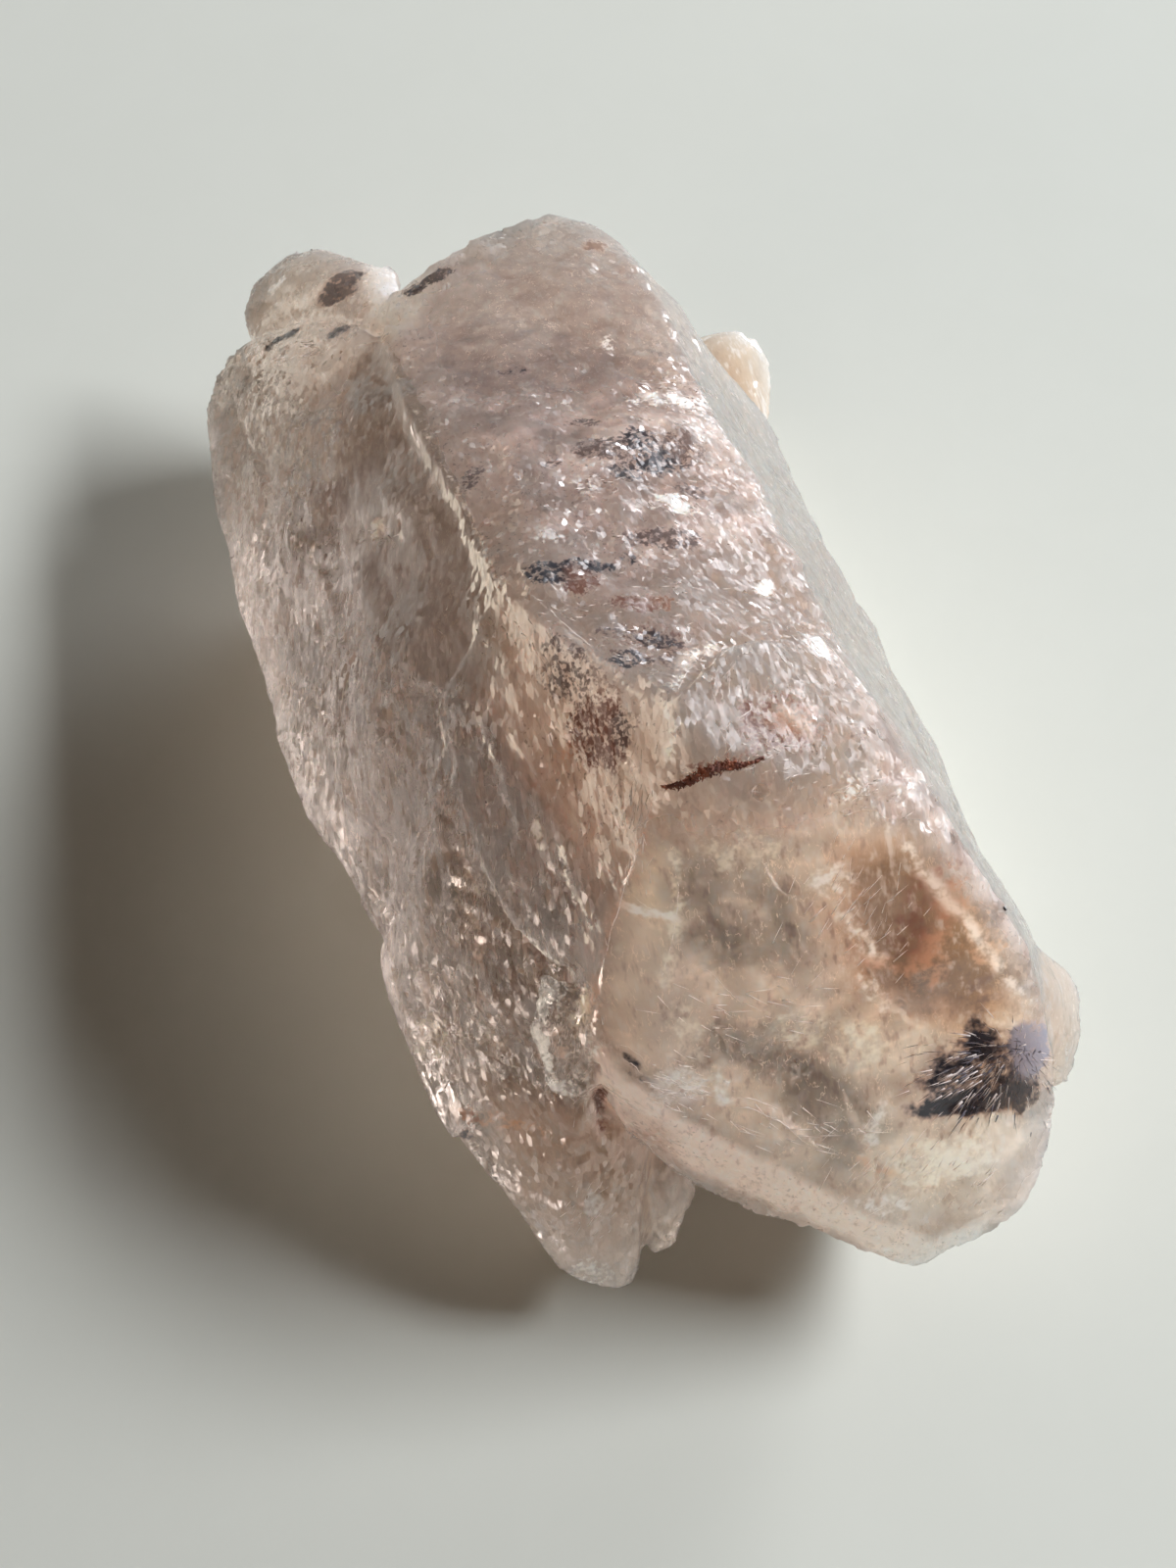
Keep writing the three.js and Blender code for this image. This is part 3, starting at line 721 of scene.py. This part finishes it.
def cut_glints(stone, smooth):
    """Turns a small patch at each glint, so that it mirrors the lamp that takes the smallest turn."""
    mirrors = [(TO_CAMERA + toward(*place)).normalized() for place in (HIGH_WINDOW, FILL)]
    deepest = 0.4 * MM
    for px, py, radius in GLINTS:
        centre, normal = stone.seen(px, py)
        facing = np.array(max(mirrors, key=normal.dot))
        offset = stone.points - np.array(centre)
        near = ramp(1.25 * radius * MM, 0.75 * radius * MM, np.linalg.norm(offset, axis=1))
        over = -(offset @ facing) / max(facing @ np.array(normal), 0.35)
        stone.points = stone.points + stone.normals * (near * np.clip(over, -deepest, deepest))[:, None]
        smooth = np.maximum(smooth, near)
    return smooth


def shape_relief(stone, smooth):
    """The small forms that the solid leaves out."""
    brow = path_distance(stone.points, stone.path(BROW_EDGE))
    stone.points = evened(stone.points, stone.faces, ramp(3.0 * MM, 1.0 * MM, brow), 60)
    stone.resolve()
    points = stone.points
    flank = flank_share(points)
    etched = 1 - 0.9 * smooth
    height = swell(points, 5 * MM) * 0.16 * MM
    equal = leaning_faces(points, 1.9 * MM, 0.12)
    drawn = leaning_faces(points, 1.6 * MM, 0.15, (0.4, 1, 1))
    height += etched * (equal * (1 - flank) + drawn * 0.8 * flank)
    height += etched * leaning_faces(points + 3 * MM, 0.8 * MM, 0.10) * (1 - 0.6 * flank)
    height += smooth * swell(points, 2.2 * MM) * 0.05 * MM
    for pixels, half_width, rise, _, _ in LINES.values():
        near = path_distance(points + stone.wobble * 0.6, stone.path(pixels))
        height += rise * MM * np.exp(-(near / (half_width * MM)) ** 2)
    height *= ramp(0, 1.2 * MM, points[:, 2])
    points = points + stone.normals * height[:, None]
    points[:, 2] = np.maximum(points[:, 2], 0)
    stone.points = points


def paint(stone):
    """Pigment colour and strength for each point."""
    colour = np.tile(np.array(MILK), (len(stone.points), 1))
    strength = np.zeros(len(stone.points))

    def lay(mask, pigment):
        nonlocal colour, strength
        share = (mask / (mask + strength * (1 - mask) + 1e-9))[:, None]
        colour = colour * (1 - share) + np.array(pigment) * share
        strength = mask + strength * (1 - mask)

    for px, py, length, width, turn, pigment, amount in MARKS:
        lay(amount * stone.spot(px, py, length, width, turn), pigment)
    for pixels, half_width, _, pigment, amount in LINES.values():
        near = path_distance(stone.points + stone.wobble * 0.6, stone.path(pixels))
        lay(amount * ramp(2.0 * half_width * MM, 0.3 * half_width * MM, near), pigment)
    return colour, strength


def set_attribute(mesh, name, values):
    kind, field = ("FLOAT", "value") if values.ndim == 1 else ("FLOAT_VECTOR", "vector")
    attribute = mesh.attributes.new(name, kind, "POINT")
    attribute.data.foreach_set(field, values.astype(np.float32).ravel())


# Shader helpers


def feed(tree, node, inputs):
    """Sets each named input of a node, or links it where the value is a socket."""
    for name, value in inputs.items():
        if isinstance(value, bpy.types.NodeSocket):
            tree.links.new(value, node.inputs[name])
        else:
            node.inputs[name].default_value = value
    return node


def add(tree, kind, inputs=None, **settings):
    """A shader node with its settings and inputs."""
    made = tree.nodes.new("ShaderNode" + kind)
    for name, value in settings.items():
        setattr(made, name, value)
    return feed(tree, made, inputs or {})


def calc(tree, operation, *values):
    return add(tree, "Math", dict(enumerate(values)), operation=operation).outputs[0]


def product(tree, first, *others):
    for other in others:
        first = calc(tree, "MULTIPLY", first, other)
    return first


def inverse(tree, value):
    return calc(tree, "SUBTRACT", 1.0, value)


def masked(tree, value, low, high, start=0.0, end=1.0):
    """A value mapped from low..high to start..end, and kept between them."""
    inputs = {"Value": value, "From Min": low, "From Max": high, "To Min": start, "To Max": end}
    return add(tree, "MapRange", inputs, interpolation_type="SMOOTHSTEP").outputs["Result"]


def blend(tree, share, one, other):
    """A colour between two: one where share is 0, and the other where it is 1."""
    return feed(tree, add(tree, "Mix", data_type="RGBA"), {0: share, 6: one, 7: other}).outputs[2]


def fine_noise(tree, where, size, detail, roughness):
    """Uneven noise with waves of this size, from 0 to 1."""
    inputs = {"Vector": where, "Scale": 1 / size, "Detail": detail, "Roughness": roughness}
    return add(tree, "TexNoise", inputs).outputs["Fac"]


def new_group(name, inputs, outputs):
    """An empty shader node group, with its entry and its leaving node."""
    group = bpy.data.node_groups.new(name, "ShaderNodeTree")
    for label, (kind, value) in inputs.items():
        socket = group.interface.new_socket(label, in_out="INPUT", socket_type="NodeSocket" + kind)
        if value is not None:
            socket.default_value = value
    for label, kind in outputs.items():
        group.interface.new_socket(label, in_out="OUTPUT", socket_type="NodeSocket" + kind)
    entry = group.nodes.new("NodeGroupInput")
    leave = group.nodes.new("NodeGroupOutput")
    return group, entry, leave


def broken_grain_group():
    """Grains with flat faces that lean each its own way."""
    inputs = {"Vector": ("Vector", None), "Grain": ("Float", 0.3 * MM)}
    group, entry, leave = new_group("broken_grain", inputs, {"Height": "Float", "Pick": "Float"})
    scale = calc(group, "DIVIDE", 1.0, entry.outputs["Grain"])
    cells = add(group, "TexVoronoi", {"Vector": entry.outputs["Vector"], "Scale": scale})
    offset = add(group, "VectorMath", {0: entry.outputs["Vector"], 1: cells.outputs["Position"]},
                 operation="SUBTRACT")
    slope = add(group, "VectorMath", {0: cells.outputs["Color"], 1: (0.5, 0.5, 0.5)}, operation="SUBTRACT")
    height = add(group, "VectorMath", {0: offset.outputs[0], 1: slope.outputs[0]}, operation="DOT_PRODUCT")
    pick = add(group, "SeparateColor", {0: cells.outputs["Color"]})
    group.links.new(height.outputs["Value"], leave.inputs["Height"])
    group.links.new(pick.outputs[2], leave.inputs["Pick"])
    return group


def mottle_group():
    """Cloudy patches with an uneven edge."""
    inputs = {"Vector": ("Vector", None), "Size": ("Float", 3 * MM), "Amount": ("Float", 0.5)}
    group, entry, leave = new_group("mottle", inputs, {"Mask": "Float"})
    scale = calc(group, "DIVIDE", 1.0, entry.outputs["Size"])
    cloud = add(group, "TexNoise", {"Vector": entry.outputs["Vector"], "Scale": scale, "Detail": 5.0,
                                    "Roughness": 0.6, "Distortion": 0.4})
    low = calc(group, "SUBTRACT", 0.9, entry.outputs["Amount"])
    mask = masked(group, cloud.outputs["Fac"], low, calc(group, "ADD", low, 0.2))
    group.links.new(mask, leave.inputs["Mask"])
    return group


def use_group(tree, group, inputs):
    return feed(tree, add(tree, "Group", node_tree=group), inputs)


def new_material(name):
    material = bpy.data.materials.new(name)
    material.use_nodes = True
    tree = material.node_tree
    return material, tree, tree.nodes["Principled BSDF"], tree.nodes["Material Output"]


def quartz_patterns(tree, grain_group, fibre_turn):
    """What the quartz is drawn with: the values that its points carry, fibres, crumbs, specks and grains."""
    quartz = SimpleNamespace()
    for name in ("see", "smooth", "dull", "flecked", "stained"):
        setattr(quartz, name, add(tree, "Attribute", attribute_name=name).outputs["Fac"])
    for name in ("tone", "pigment"):
        setattr(quartz, name, add(tree, "Attribute", attribute_name=name).outputs["Vector"])
    quartz.etched = inverse(tree, quartz.smooth)
    where = add(tree, "TexCoord").outputs["Object"]
    turned = add(tree, "Mapping", {"Vector": where, "Rotation": fibre_turn}).outputs[0]
    drawn = add(tree, "Mapping", {"Vector": turned, "Scale": FIBRE_STRETCH}).outputs[0]
    long_grain = add(tree, "Mapping", {"Vector": turned, "Scale": GRAIN_STRETCH}).outputs[0]
    quartz.fibres = fine_noise(tree, drawn, FIBRE_SIZE, 2.5, 0.7)
    quartz.crumbs = fine_noise(tree, where, CRUMB_SIZE, 2.5, 0.75)
    quartz.specks = fine_noise(tree, where, SPECK_SIZE, 1.5, 0.6)
    grain = use_group(tree, grain_group, {"Vector": long_grain, "Grain": GRAIN_SIZE})
    quartz.grain_height = grain.outputs["Height"]
    quartz.bright = calc(tree, "GREATER_THAN", grain.outputs["Pick"], BRIGHT_FROM)
    quartz.fleck = product(tree, quartz.bright, quartz.flecked, quartz.etched)
    quartz.dark_speck = product(tree, masked(tree, quartz.specks, 0.38, 0.30, 0.0, 0.7), quartz.etched,
                                quartz.flecked)
    return quartz


def quartz_colour(tree, quartz):
    """The stone's tone with fibres, specks and flecks, and its pigments over them; and the stained share."""
    body = blend(tree, masked(tree, quartz.fibres, 0.5, 0.72, 0.0, 0.42), quartz.tone, (*MILK, 1))
    body = blend(tree, masked(tree, quartz.fibres, 0.46, 0.30, 0.0, 0.35), body, (*SMOKE, 1))
    body = blend(tree, quartz.dark_speck, body, (*SMOKE, 1))
    # painted highlight, in part: the glossy grains are also painted milk-white, for the glints they catch
    body = blend(tree, product(tree, quartz.fleck, 0.4), body, (*MILK, 1))
    uneven = product(tree, masked(tree, quartz.crumbs, 0.3, 0.7), 0.45)
    gaps = product(tree, masked(tree, quartz.specks, 0.60, 0.40, 0.0, 0.5), quartz.etched)
    edge = calc(tree, "SUBTRACT", calc(tree, "SUBTRACT", quartz.stained, uneven), gaps)
    stain = masked(tree, edge, -0.08, 0.58)
    return blend(tree, stain, body, quartz.pigment), stain


def quartz_roughness(tree, quartz):
    """Dull where etched, with glossier grains, and glassy where smooth."""
    even = inverse(tree, product(tree, quartz.bright, 0.4))
    return calc(tree, "ADD", product(tree, quartz.dull, even, quartz.etched), GLASSY)


def quartz_relief(tree, quartz):
    """The normal of relief that is finer than the mesh."""
    calm = calc(tree, "ADD", 0.4, product(tree, quartz.flecked, 0.6))
    height = product(tree, quartz.grain_height, calm)
    bump = add(tree, "Bump", {"Strength": quartz.etched, "Distance": 1.0, "Height": height})
    return bump.outputs["Normal"]


def quartz_clearness(tree, quartz, stain):
    """The share of the light that goes into the stone: fibres, flecks, specks and stains take some of it."""
    streak = product(tree, masked(tree, quartz.fibres, 0.50, 0.30, 0.0, 0.35), quartz.etched)
    middle = calc(tree, "ABSOLUTE", calc(tree, "SUBTRACT", quartz.fibres, 0.5))
    thread = product(tree, masked(tree, middle, 0.025, 0.0, 0.0, 0.65), quartz.smooth,
                     masked(tree, quartz.crumbs, 0.48, 0.60))
    # the painted highlight flecks take some of the see-through share as well
    lost = product(tree, quartz.fleck, 0.4)
    for other in (streak, thread, product(tree, quartz.dark_speck, 0.8), product(tree, stain, 0.85)):
        lost = calc(tree, "MAXIMUM", lost, other)
    return product(tree, quartz.see, inverse(tree, lost))


def quartz_material(grain_group, fibre_turn):
    """Milky etched quartz that turns to clear quartz where the see attribute says so."""
    material, tree, milky, output = new_material("quartz")
    quartz = quartz_patterns(tree, grain_group, fibre_turn)
    colour, stain = quartz_colour(tree, quartz)
    roughness, relief = quartz_roughness(tree, quartz), quartz_relief(tree, quartz)
    surface = {"IOR": IOR, "Roughness": roughness, "Normal": relief}
    feed(tree, milky, {"Base Color": colour, "Subsurface Weight": 1.0, "Subsurface Radius": THIN_GLOW,
                       "Subsurface Scale": GLOW, **surface})
    clear = add(tree, "BsdfPrincipled", {"Base Color": (*GLASS, 1), "Transmission Weight": 1.0, **surface})

    # seen from the table the stone is mostly milky, so that its shadow stays dark, and from inside it is clear
    from_table = add(tree, "LightPath").outputs["Is Diffuse Ray"]
    from_inside = add(tree, "NewGeometry").outputs["Backfacing"]
    darkened = inverse(tree, product(tree, from_table, 0.8))
    through = product(tree, quartz_clearness(tree, quartz, stain), darkened)
    through = calc(tree, "MAXIMUM", through, from_inside)
    both = add(tree, "MixShader", {"Fac": through, 1: milky.outputs[0], 2: clear.outputs[0]})
    tint = add(tree, "VolumeAbsorption", {"Color": (*ABSORBED, 1), "Density": DENSITY})
    feed(tree, output, {"Surface": both.outputs[0], "Volume": tint.outputs["Volume"]})
    return material


def grain_material(name, mottle, pale, dark, roughness, size):
    """A dull mineral in two tones."""
    material, tree, shader, _ = new_material(name)
    where = add(tree, "TexCoord").outputs["Object"]
    patches = use_group(tree, mottle, {"Vector": where, "Size": size, "Amount": 0.5}).outputs["Mask"]
    feed(tree, shader, {"Base Color": blend(tree, patches, (*pale, 1), (*dark, 1)),
                        "Roughness": calc(tree, "ADD", product(tree, patches, 0.15), roughness)})
    return material


def table_material(mottle):
    material, tree, shader, _ = new_material("pale_table")
    where = add(tree, "TexCoord").outputs["Object"]
    patches = use_group(tree, mottle, {"Vector": where, "Size": 6 * MM, "Amount": 0.5}).outputs["Mask"]
    colour = blend(tree, product(tree, patches, 0.3), *TABLE_TONES)
    feed(tree, shader, {"Base Color": colour, "Roughness": 0.9, "Specular IOR Level": 0.2})
    return material


# Fine pieces in the stone and just under its surface



FOUR_FACES = np.array([[0, 2, 1], [0, 1, 3], [1, 2, 3], [2, 0, 3]])


def four_sided(rings, peaks):
    """Closed solids, each with three corners around its foot and one peak."""
    points = np.concatenate([rings, peaks[:, None]], 1).reshape(-1, 3)
    faces = (np.arange(len(peaks)) * 4)[:, None, None] + FOUR_FACES[None]
    return points, faces.reshape(-1, 3)


def corners_around(middles, along, widths):
    """Three corners around each middle, square to the way along."""
    side = unit(np.cross(along, np.array([0.3, 0.5, 0.8])))
    other = np.cross(along, side)
    turns = np.array([0, 2.094, 4.189])
    return (middles[:, None] + (side[:, None] * np.cos(turns)[None, :, None]
                                + other[:, None] * np.sin(turns)[None, :, None]) * widths[:, None, None])


def needles(starts, ends, widths):
    """Thin three-sided needles, pointed at the far end, as closed solids."""
    return four_sided(corners_around(starts, unit(ends - starts), widths), ends)


def chips(middles, smallest, largest, rng):
    """Flat four-sided chips, one at each middle and turned at random, as closed solids."""
    count = len(middles)
    facings = unit(rng.normal(size=middles.shape))
    radii = rng.uniform(smallest, largest, count) * MM
    side = unit(np.cross(facings, rng.normal(size=(count, 3))))
    other = np.cross(facings, side)
    turns = np.array([0, 2.1, 4.2]) + rng.uniform(-0.5, 0.5, (count, 3))
    reach = radii[:, None] * rng.uniform(0.6, 1.2, (count, 3))
    rings = (middles[:, None] + side[:, None] * (np.cos(turns) * reach)[..., None]
             + other[:, None] * (np.sin(turns) * reach)[..., None])
    return four_sided(rings, middles + facings * (radii * 0.35)[:, None])


def new_piece(name, parts, material):
    """Joins arrays of points and faces into one piece of the object."""
    points, faces, start = [], [], 0
    for part_points, part_faces in parts:
        points.append(part_points)
        faces.append(part_faces + start)
        start += len(part_points)
    points, faces = np.concatenate(points), np.concatenate(faces)
    mesh = bpy.data.meshes.new(name)
    mesh.vertices.add(len(points))
    mesh.vertices.foreach_set("co", points.astype(np.float32).ravel())
    mesh.loops.add(len(faces) * 3)
    mesh.loops.foreach_set("vertex_index", faces.astype(np.int32).ravel())
    mesh.polygons.add(len(faces))
    mesh.polygons.foreach_set("loop_start", np.arange(0, len(faces) * 3, 3, dtype=np.int32))
    mesh.update(calc_edges=True)
    mesh.validate()
    mesh.materials.append(material)
    piece = bpy.data.objects.new(name, mesh)
    bpy.context.scene.collection.objects.link(piece)
    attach(piece, "root")
    return piece


def add_needle_tuft(stone, dark, pale):
    """The tuft of dark needles by the right edge of the clear end, with pale ones over it."""
    rng = np.random.default_rng(5)
    root = np.array(stone.within(*TUFT_ROOT, 0.5 * MM))
    for name, count, highest, deepest, material in (("needle_tuft", 3000, -0.02, 0.8, dark),
                                                    ("pale_needles", 130, -0.03, 0.02, pale)):
        starts, ends, widths = [], [], []
        for _ in range(count):
            px, py = (middle + rng.normal() * spread for middle, spread in zip(TUFT_MIDDLE, TUFT_SPREAD))
            middle = np.array(stone.within(px, py, rng.uniform(highest, deepest) * MM))
            away = unit(middle - root + rng.normal(size=3) * 0.4 * MM)
            length = rng.uniform(0.4, 1.5) * MM
            starts.append(middle - away * length * 0.5)
            ends.append(middle + away * length * 0.5)
            widths.append(rng.uniform(0.02, 0.05) * MM)
        new_piece(name, [needles(np.array(starts), np.array(ends), np.array(widths))], material)


def healed_crack(path, radius):
    """A thin three-sided thread along a path, pointed at both ends, as a closed solid."""
    path = np.array(path)
    widths = radius * (0.15 + 0.85 * np.sin(np.linspace(0.05, math.pi - 0.05, len(path))))
    rings = corners_around(path, unit(np.gradient(path, axis=0)), widths)
    faces = [(0, 2, 1), tuple(3 * (len(path) - 1) + k for k in range(3))]
    for start in range(0, 3 * (len(path) - 1), 3):
        for k in range(3):
            one, two = start + k, start + (k + 1) % 3
            faces += [(one, two, two + 3), (one, two + 3, one + 3)]
    return rings.reshape(-1, 3), np.array(faces)


def add_healed_cracks(stone, material):
    rng = np.random.default_rng(11)
    threads = []
    for pixels in HEALED_CRACKS:
        share = np.linspace(0, len(pixels) - 1, 6 * len(pixels))
        across, down = np.array(pixels, float).T
        steps = np.arange(len(pixels))
        waver = np.cumsum(rng.normal(size=(2, len(share))), axis=1) * 0.5
        px, py = np.interp(share, steps, across) + waver[0], np.interp(share, steps, down) + waver[1]
        path = [np.array(stone.within(x, y, 0.01 * MM)) for x, y in zip(px, py)]
        threads.append(healed_crack(path, rng.uniform(0.015, 0.04) * MM))
    new_piece("healed_cracks", threads, material)


def thin_sheet(grid, thickness):
    """A closed sheet over a grid of points."""
    rows, columns = grid.shape[:2]
    count = rows * columns
    facing = unit(np.cross(np.gradient(grid, axis=0), np.gradient(grid, axis=1)))
    points = np.concatenate([grid - facing * thickness / 2, grid + facing * thickness / 2]).reshape(-1, 3)
    number = np.arange(count).reshape(rows, columns)
    one, two, three, four = number[:-1, :-1], number[1:, :-1], number[1:, 1:], number[:-1, 1:]
    over = np.stack([one, two, three, one, three, four], -1).reshape(-1, 3)
    rim = np.concatenate([number[:, 0], number[-1, 1:], number[-2::-1, -1], number[0, -2:0:-1]])
    after = np.roll(rim, -1)
    lower = np.stack([rim, after, after + count], 1)
    upper = np.stack([rim, after + count, rim + count], 1)
    return points, np.concatenate([over[:, ::-1], over + count, lower, upper])


def add_milky_veils(stone, material):
    """Thin curved sheets inside the clear end, with a ragged far edge."""
    rng = np.random.default_rng(13)
    sheets = []
    for pixels, lean, near, far in VEILS:
        across, down = np.array(pixels, float).T
        steps = np.arange(len(pixels))
        grid = []
        for share in np.linspace(0, len(pixels) - 1, 90):
            px, py = np.interp(share, steps, across), np.interp(share, steps, down)
            taper = math.sin(math.pi * (0.03 + 0.94 * share / (len(pixels) - 1)))
            ragged = 0.6 + 0.4 * noise.noise(Vector((share * 5, near * 9, px))) + rng.uniform(-0.22, 0.1)
            end = near + (far - near) * max(taper * ragged, 0.05)
            wave = 3 * noise.noise(Vector((share * 2.5, 7, near)))
            grid.append([stone.within(px + lean[0] * depth + wave, py + lean[1] * depth + wave, depth * MM)
                         for depth in np.linspace(near + rng.uniform(0, 0.05), end, 8)])
        sheets.append(thin_sheet(np.array(grid), 0.02 * MM))
    new_piece("milky_veils", sheets, material)


def add_fibres_and_painted_sparkle(stone, material):
    """Fine milky fibres just under the surface, partly painted highlights where the surface sparkles."""
    rng = np.random.default_rng(12)
    starts, ends, widths = [], [], []
    for px, py, spread_x, spread_y, turn, count, longest in FIBRE_AND_SPARKLE_SHEAVES:
        for _ in range(count):
            spot = (px + rng.normal() * spread_x, py + rng.normal() * spread_y)
            middle, normal = stone.seen(*spot)
            way = math.radians(turn + rng.normal() * 14)
            along = TO_RIGHT * math.cos(way) + TO_TOP * math.sin(way)
            along = np.array((along - normal * along.dot(normal)).normalized())
            middle = np.array(middle - normal * rng.uniform(-0.03, 0.01) * MM)
            half = along * rng.uniform(0.25, 1.0) * longest * MM / 2
            starts.append(middle - half)
            ends.append(middle + half)
            widths.append(rng.uniform(0.015, 0.035) * MM)
    new_piece("milky_fibres_and_sparkle", [needles(np.array(starts), np.array(ends), np.array(widths))], material)


def add_iron_crack(stone, material):
    """The dark red crack on the top face, filled with iron."""
    rng = np.random.default_rng(8)
    (left, low), (run, rise) = IRON_CRACK_START, IRON_CRACK_RUN
    middles = []
    for share in rng.uniform(0, 1, 900):
        waver = 3 * math.sin(9 * share) + rng.normal() * 3.0 * math.sin(math.pi * min(1, share * 1.1))
        px, py = left + run * share, low + rise * share + waver
        middles.append(stone.within(px, py, rng.uniform(-0.05, 0.03) * MM))
    new_piece("iron_crack", [chips(np.array(middles), 0.06, 0.15, rng)], material)


def add_table():
    mesh = bpy.data.meshes.new("table")
    half, top = TABLE_HALF, -AIR_GAP
    mesh.from_pydata([(-half, -half, top), (half, -half, top), (half, half, top), (-half, half, top)], [],
                     [(0, 1, 2, 3)])
    table = bpy.data.objects.new("table", mesh)
    bpy.context.scene.collection.objects.link(table)
    return table


def shaped_and_painted(node):
    """The crystal with its fine forms, and the values that its points carry for the material."""
    stone = Stone(node)
    tone, see, smooth, clear_end = regions(stone)
    pigment, stained = paint(stone)
    values = {
        "see": veiled(stone, see, clear_end),
        "dull": 0.35 - 0.17 * ramp(-4 * MM, -9 * MM, stone.points[:, 1]),
        "tone": tone,
        "flecked": clouds(stone.points, 4 * MM, 0.5),
        "pigment": pigment,
        "stained": stained,
    }
    shape_relief(stone, smooth)
    values["smooth"] = cut_glints(stone, smooth)
    stone.resolve()
    return stone, values


def fibre_rotation(stone):
    """The turn that lays the fibres along the flank."""
    start, end = (stone.seen(*pixel)[0] for pixel in FIBRES_RUN)
    along = (end - start).normalized()
    side = along.cross(Vector((0, 1, 0))).normalized()
    return Matrix((along, side, along.cross(side))).to_euler()


def dress(piece, points, values, material):
    """Gives the crystal its fine surface, its values and its material, and puts it in the solid's place."""
    mesh = piece.data
    mesh.vertices.foreach_set("co", points.astype(np.float32).ravel())
    for name, value in values.items():
        set_attribute(mesh, name, value)
    mesh.update()
    mesh.shade_smooth()
    mesh.materials.clear()
    mesh.materials.append(material)
    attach(piece, "root")
    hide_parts("quartz_crystals")


place_camera()
light_studio()

grain_group, mottle = broken_grain_group(), mottle_group()
add_table().data.materials.append(table_material(mottle))

stone, values = shaped_and_painted(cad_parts["quartz_crystals"])
dress(stone.piece, stone.points, values, quartz_material(grain_group, fibre_rotation(stone)))

minerals = {name: grain_material(name, mottle, *look) for name, look in MINERALS.items()}
add_needle_tuft(stone, minerals["dark_needle"], minerals["pale_needle"])
add_healed_cracks(stone, minerals["milky_thread"])
add_fibres_and_painted_sparkle(stone, minerals["milky_thread"])
add_milky_veils(stone, minerals["milky_veil"])
add_iron_crack(stone, minerals["iron_stain"])
